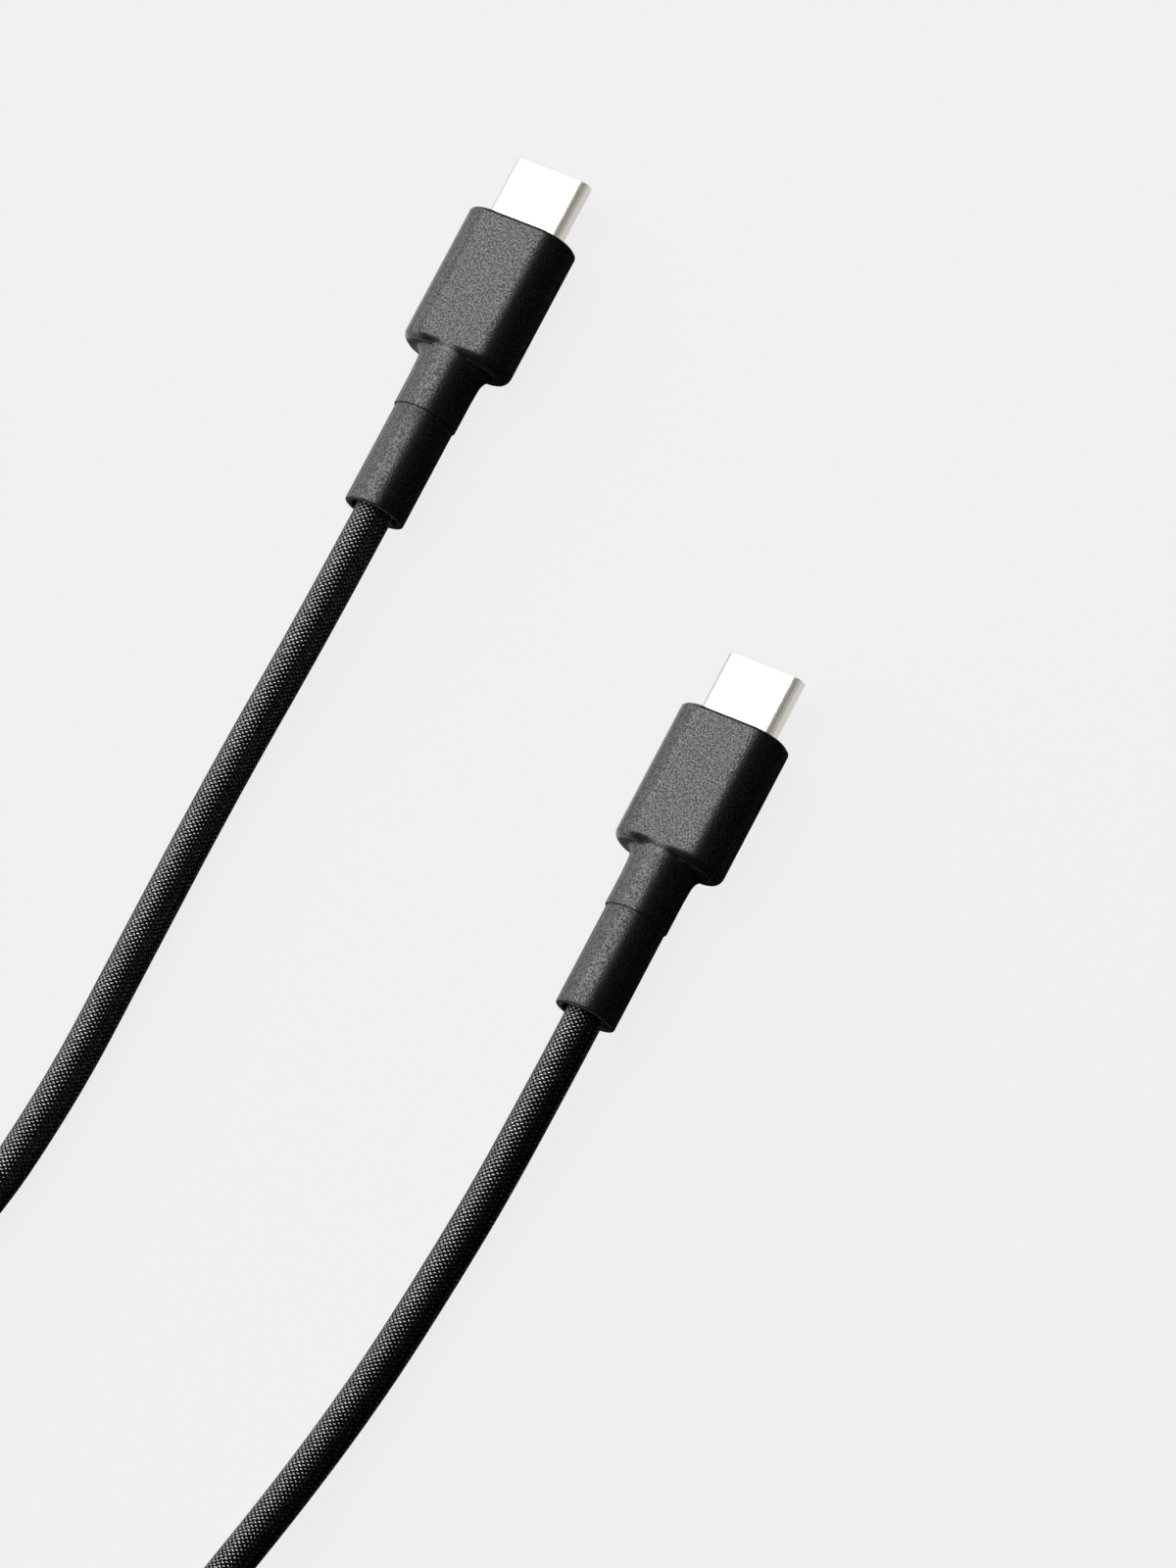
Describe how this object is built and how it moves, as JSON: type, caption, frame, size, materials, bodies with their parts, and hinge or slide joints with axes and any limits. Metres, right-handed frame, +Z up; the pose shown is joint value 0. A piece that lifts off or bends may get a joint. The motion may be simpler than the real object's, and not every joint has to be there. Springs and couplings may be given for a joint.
{
  "type": "charging cable",
  "caption": "Braided charging cable with a small metal reversible plug and a strain relief at each end, its spare length wound in a tied coil.",
  "frame": {"origin": "on the plane that the cable lies on, under the middle of the two plugs' box", "axes": "+Z up, +Y the way both plugs point, +X from plug A's axis to plug B's"},
  "size_m": [0.0649, 0.2087, 0.0088],
  "materials": {
    "plug_steel": "nickel plated, satin",
    "insulator": "moulded",
    "contact_gold": "gold plated",
    "spring_steel": "stamped",
    "board_laminate": "solder resist",
    "capacitor_ceramic": "fired",
    "solder": "tin, as cast",
    "can_steel": "stamped, tin plated",
    "inner_resin": "moulded",
    "moulding": "fine spark texture",
    "sleeve": "fine spark texture",
    "cord_braid": "braided polyester yarn",
    "cord_jacket": "extruded",
    "shield_wire": "tinned wire, braided",
    "insulation_red": "extruded",
    "insulation_black": "extruded",
    "insulation_green": "extruded",
    "insulation_white": "extruded",
    "insulation_blue": "extruded",
    "tie_strap": "woven hook-and-loop strap"
  },
  "bodies": {
    "root": {"plug_a_metal_shell": "plug_steel", "plug_a_contact_housing": "insulator", "plug_a_upper_contacts": "contact_gold", "plug_a_lower_contacts": "contact_gold", "plug_a_upper_ground_spring": "spring_steel", "plug_a_lower_ground_spring": "spring_steel", "plug_a_side_latch": "spring_steel", "plug_a_circuit_board": "board_laminate", "plug_a_bypass_capacitors": "capacitor_ceramic", "plug_a_solder_joints": "solder", "plug_a_shield_can_top": "can_steel", "plug_a_shield_can_bottom": "can_steel", "plug_a_inner_moulding": "inner_resin", "plug_a_outer_moulding": "moulding", "plug_a_strain_relief": "sleeve", "plug_a_cord_end": "cord_braid", "plug_a_jacket_end": "cord_jacket", "plug_a_shield_braid": "shield_wire", "plug_a_red_wire": "insulation_red", "plug_a_black_wire": "insulation_black", "plug_a_green_wire": "insulation_green", "plug_a_white_wire": "insulation_white", "plug_a_blue_wire": "insulation_blue", "plug_b_metal_shell": "plug_steel", "plug_b_contact_housing": "insulator", "plug_b_upper_contacts": "contact_gold", "plug_b_lower_contacts": "contact_gold", "plug_b_upper_ground_spring": "spring_steel", "plug_b_lower_ground_spring": "spring_steel", "plug_b_side_latch": "spring_steel", "plug_b_circuit_board": "board_laminate", "plug_b_bypass_capacitors": "capacitor_ceramic", "plug_b_solder_joints": "solder", "plug_b_shield_can_top": "can_steel", "plug_b_shield_can_bottom": "can_steel", "plug_b_inner_moulding": "inner_resin", "plug_b_outer_moulding": "moulding", "plug_b_strain_relief": "sleeve", "plug_b_cord_end": "cord_braid", "plug_b_jacket_end": "cord_jacket", "plug_b_shield_braid": "shield_wire", "plug_b_red_wire": "insulation_red", "plug_b_black_wire": "insulation_black", "plug_b_green_wire": "insulation_green", "plug_b_white_wire": "insulation_white", "plug_b_blue_wire": "insulation_blue", "cord_a": "cord_braid", "cord_b": "cord_braid", "cord_coil": "cord_braid", "coil_tie": "tie_strap"}
  },
  "joints": []
}
